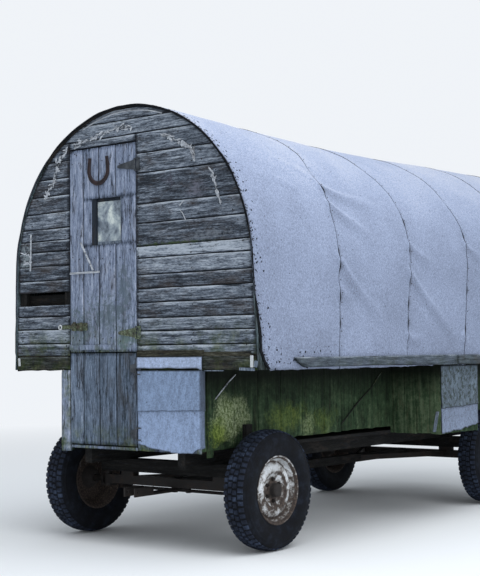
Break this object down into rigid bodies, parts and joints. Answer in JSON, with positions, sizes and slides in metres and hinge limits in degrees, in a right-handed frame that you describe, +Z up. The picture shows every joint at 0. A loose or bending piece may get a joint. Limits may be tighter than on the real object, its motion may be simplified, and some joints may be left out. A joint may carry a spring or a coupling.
{
  "type": "covered wagon",
  "caption": "Herder's covered wagon: an arched cabin clad in roofing sheet with a plank end wall and two-leaf door, on a narrow lower box over steerable rubber-tyred running gear.",
  "frame": {"origin": "on the ground, below the centre of the wagon's overall box", "axes": "+X towards the wagon's left side, +Y from the door end to the back wall, +Z up"},
  "size_m": [2.1908, 4.624, 2.8823],
  "materials": {
    "weathered_wood": "weathered grey, unpainted",
    "green_wood": "old green paint with moss",
    "frame_wood": "dark rough sawn",
    "roofing_sheet": "mineral-surfaced roll roofing, matt",
    "rusty_iron": "rusted",
    "wheel_paint": "worn white paint with rust",
    "tyre_rubber": "old black rubber",
    "window_glass": "dusty pane"
  },
  "bodies": {
    "wagon": {"bench_frames": "frame_wood", "bench_decks": "frame_wood", "box_sides": "green_wood", "corner_posts": "green_wood", "corner_battens": "green_wood", "box_floor": "frame_wood", "floor_sills": "frame_wood", "box_front_boards": "weathered_wood", "box_back_boards": "green_wood", "sill_boards": "weathered_wood", "front_planks_left": "weathered_wood", "front_planks_right": "weathered_wood", "front_planks_top": "weathered_wood", "back_planks": "weathered_wood", "back_window_frame": "weathered_wood", "back_window_glass": "window_glass", "front_wall_frame": "frame_wood", "back_wall_frame": "frame_wood", "roof_bows": "frame_wood", "roof_deck": "frame_wood", "roofing": "roofing_sheet", "eave_battens": "weathered_wood", "storage_boxes": "green_wood", "side_cladding": "roofing_sheet", "front_cladding": "roofing_sheet", "hinge_posts": "rusty_iron", "front_axle": "rusty_iron", "rear_axle": "rusty_iron", "bolsters": "frame_wood", "bolster_stakes": "frame_wood", "reach_pole": "frame_wood", "hounds": "rusty_iron"},
    "door_upper": {"door_upper_leaf": "weathered_wood", "door_window_frame": "weathered_wood", "door_window_glass": "window_glass", "door_upper_hinges": "rusty_iron", "horseshoe": "rusty_iron", "door_latch": "rusty_iron"},
    "door_lower": {"door_lower_leaf": "weathered_wood", "door_lower_hinges": "rusty_iron"},
    "tongue_plate": {"steering_plate": "rusty_iron"},
    "tie_rod": {"tie_rod": "rusty_iron"},
    "knuckle_left": {"knuckle_left": "rusty_iron"},
    "knuckle_right": {"knuckle_right": "rusty_iron"},
    "front_wheel_left": {"wheel_front_left": "wheel_paint", "tyre_front_left": "tyre_rubber"},
    "front_wheel_right": {"wheel_front_right": "wheel_paint", "tyre_front_right": "tyre_rubber"},
    "rear_wheel_left": {"wheel_rear_left": "wheel_paint", "tyre_rear_left": "tyre_rubber"},
    "rear_wheel_right": {"wheel_rear_right": "wheel_paint", "tyre_rear_right": "tyre_rubber"}
  },
  "joints": [
    {"name": "upper_door_swing", "type": "hinge", "parent": "wagon", "child": "door_upper", "pos_m": [0.0865, -2.294, 1.9], "axis": [0, 0, 1], "range_deg": [0, 160]},
    {"name": "lower_door_swing", "type": "hinge", "parent": "wagon", "child": "door_lower", "pos_m": [0.0865, -2.294, 0.95], "axis": [0, 0, 1], "range_deg": [0, 160]},
    {"name": "tongue_swing", "type": "hinge", "parent": "wagon", "child": "tongue_plate", "pos_m": [0, -1.821, 0.336], "axis": [0, 0, 1], "range_deg": [-20, 20]},
    {"name": "tie_rod_pivot", "type": "hinge", "parent": "tongue_plate", "child": "tie_rod", "pos_m": [0, -1.681, 0.316], "axis": [0, 0, 1], "range_deg": [-20, 20]},
    {"name": "kingpin_left", "type": "hinge", "parent": "wagon", "child": "knuckle_left", "pos_m": [0.62, -1.821, 0.383], "axis": [0, 0, 1], "range_deg": [-20, 20]},
    {"name": "kingpin_right", "type": "hinge", "parent": "wagon", "child": "knuckle_right", "pos_m": [-0.62, -1.821, 0.383], "axis": [0, 0, 1], "range_deg": [-20, 20]},
    {"name": "front_left_wheel_spin", "type": "hinge", "parent": "knuckle_left", "child": "front_wheel_left", "pos_m": [0.79, -1.821, 0.383], "axis": [1, 0, 0], "continuous": true},
    {"name": "front_right_wheel_spin", "type": "hinge", "parent": "knuckle_right", "child": "front_wheel_right", "pos_m": [-0.79, -1.821, 0.383], "axis": [1, 0, 0], "continuous": true},
    {"name": "rear_left_wheel_spin", "type": "hinge", "parent": "wagon", "child": "rear_wheel_left", "pos_m": [0.79, 1.199, 0.383], "axis": [1, 0, 0], "continuous": true},
    {"name": "rear_right_wheel_spin", "type": "hinge", "parent": "wagon", "child": "rear_wheel_right", "pos_m": [-0.79, 1.199, 0.383], "axis": [1, 0, 0], "continuous": true}
  ],
  "couplings": [
    {"joint": "kingpin_left", "follows": "tongue_swing", "ratio": 1},
    {"joint": "kingpin_right", "follows": "tongue_swing", "ratio": 1},
    {"joint": "tie_rod_pivot", "follows": "tongue_swing", "ratio": -1}
  ]
}
